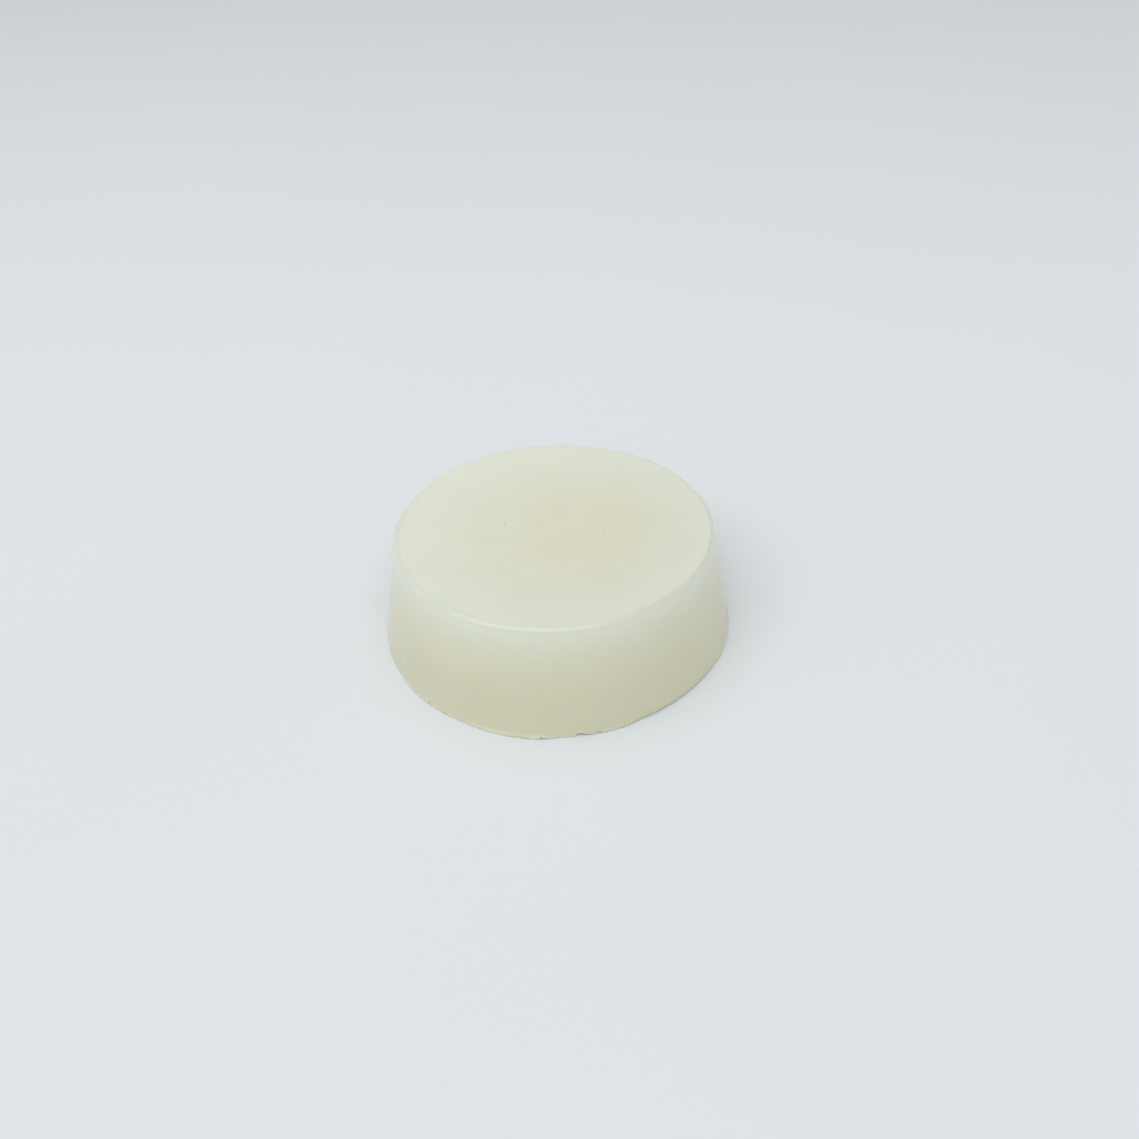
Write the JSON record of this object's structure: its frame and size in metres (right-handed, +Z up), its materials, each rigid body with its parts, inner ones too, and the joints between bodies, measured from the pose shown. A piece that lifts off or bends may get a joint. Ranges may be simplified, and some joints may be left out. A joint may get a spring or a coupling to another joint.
{
  "type": "shaving soap puck",
  "caption": "Round tapered puck of translucent cream shaving soap, with a rounded top rim, a dished base and a chipped base edge, for lathering with a brush in a bowl or mug.",
  "frame": {"origin": "centre of the face that the puck rests on", "axes": "+Z up, along the puck's axis, from the wide base to the narrower top face; -Y faces the viewer"},
  "size_m": [0.07, 0.07, 0.0225],
  "materials": {
    "soap": "satin"
  },
  "bodies": {
    "root": {"soap_puck": "soap"}
  },
  "joints": []
}
